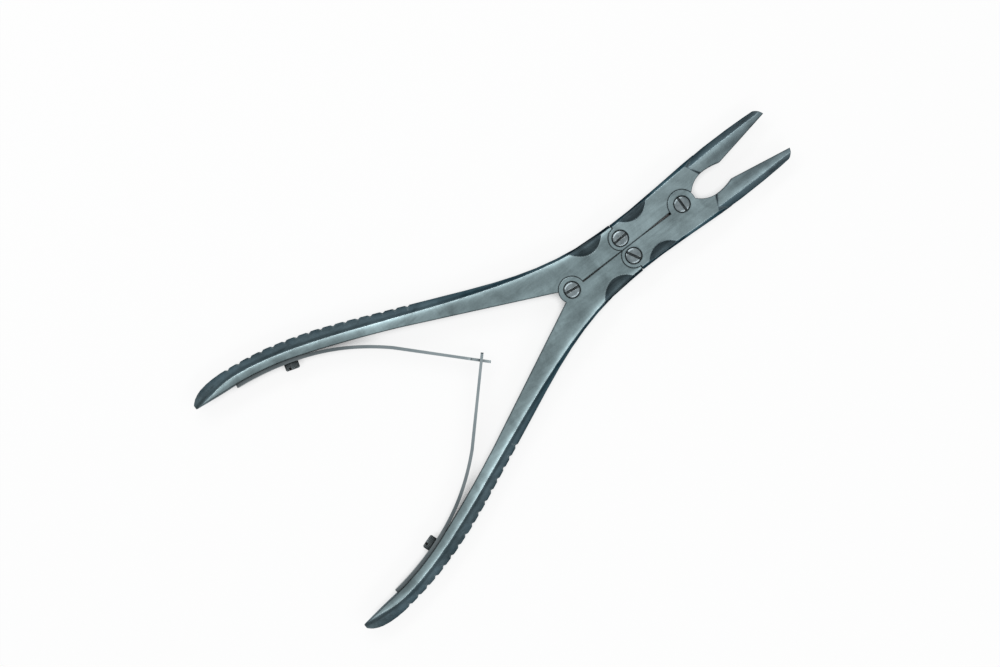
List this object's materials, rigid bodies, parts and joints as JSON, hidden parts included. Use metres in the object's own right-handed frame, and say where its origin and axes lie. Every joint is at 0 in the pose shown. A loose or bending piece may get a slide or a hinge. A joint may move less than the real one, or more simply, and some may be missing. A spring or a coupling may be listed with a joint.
{
  "type": "bone rongeur",
  "caption": "Straight double-action bone rongeur with cupped jaws, ribbed handles, slotted pivot screws and hooked leaf springs, standing open.",
  "frame": {"origin": "on the axis of the handle pivot, in the plane of the flat underside that the instrument lies on", "axes": "+X from the handle pivot to the jaws, along the instrument's centre line; +Y to the upper handle; +Z along the pivot screws, from their threads to their slotted heads"},
  "size_m": [0.2209, 0.106, 0.0093],
  "materials": {
    "forged_steel": "satin",
    "screw_steel": "turned, bright",
    "spring_steel": "rolled and satin ground"
  },
  "bodies": {
    "handle_lower_body": {"handle_lower": "forged_steel", "lower_link_screw": "screw_steel", "spring_screw_lower": "screw_steel"},
    "handle_upper_body": {"handle_upper": "forged_steel", "handle_pivot_screw": "screw_steel", "upper_link_screw": "screw_steel", "spring_screw_upper": "screw_steel"},
    "jaw_upper_body": {"jaw_upper": "forged_steel", "jaw_pivot_screw": "screw_steel"},
    "jaw_lower_body": {"jaw_lower": "forged_steel"},
    "leaf_upper_body": {"leaf_spring_upper": "spring_steel"},
    "leaf_lower_body": {"leaf_spring_lower": "spring_steel"}
  },
  "joints": [
    {"name": "handle_pivot", "type": "hinge", "parent": "handle_lower_body", "child": "handle_upper_body", "pos_m": [0, 0, 0.0045], "axis": [0, 0, 1], "range_deg": [0, 20.2], "stiffness_Nm_per_rad": 2.5, "springref_deg": -5.73},
    {"name": "upper_link_pivot", "type": "hinge", "parent": "handle_upper_body", "child": "jaw_upper_body", "pos_m": [0.0244, 0.0038, 0.0045], "axis": [0, 0, 1], "range_deg": [-20.2, 0]},
    {"name": "lower_link_pivot", "type": "hinge", "parent": "handle_lower_body", "child": "jaw_lower_body", "pos_m": [0.0244, -0.0038, 0.0045], "axis": [0, 0, 1], "range_deg": [0, 20.2]},
    {"name": "upper_leaf_flex", "type": "hinge", "parent": "handle_upper_body", "child": "leaf_upper_body", "pos_m": [-0.08, 0.036, 0.0045], "axis": [0, 0, 1], "range_deg": [0, 8.6], "deforming": ["leaf_spring_upper"]},
    {"name": "lower_leaf_flex", "type": "hinge", "parent": "handle_lower_body", "child": "leaf_lower_body", "pos_m": [-0.08, -0.036, 0.0045], "axis": [0, 0, 1], "range_deg": [-8.6, 0], "deforming": ["leaf_spring_lower"]}
  ],
  "couplings": [
    {"joint": "upper_link_pivot", "follows": "handle_pivot", "ratio": -1},
    {"joint": "lower_link_pivot", "follows": "handle_pivot", "ratio": 1},
    {"joint": "upper_leaf_flex", "follows": "handle_pivot", "ratio": 0.4223},
    {"joint": "lower_leaf_flex", "follows": "handle_pivot", "ratio": -0.4223}
  ]
}
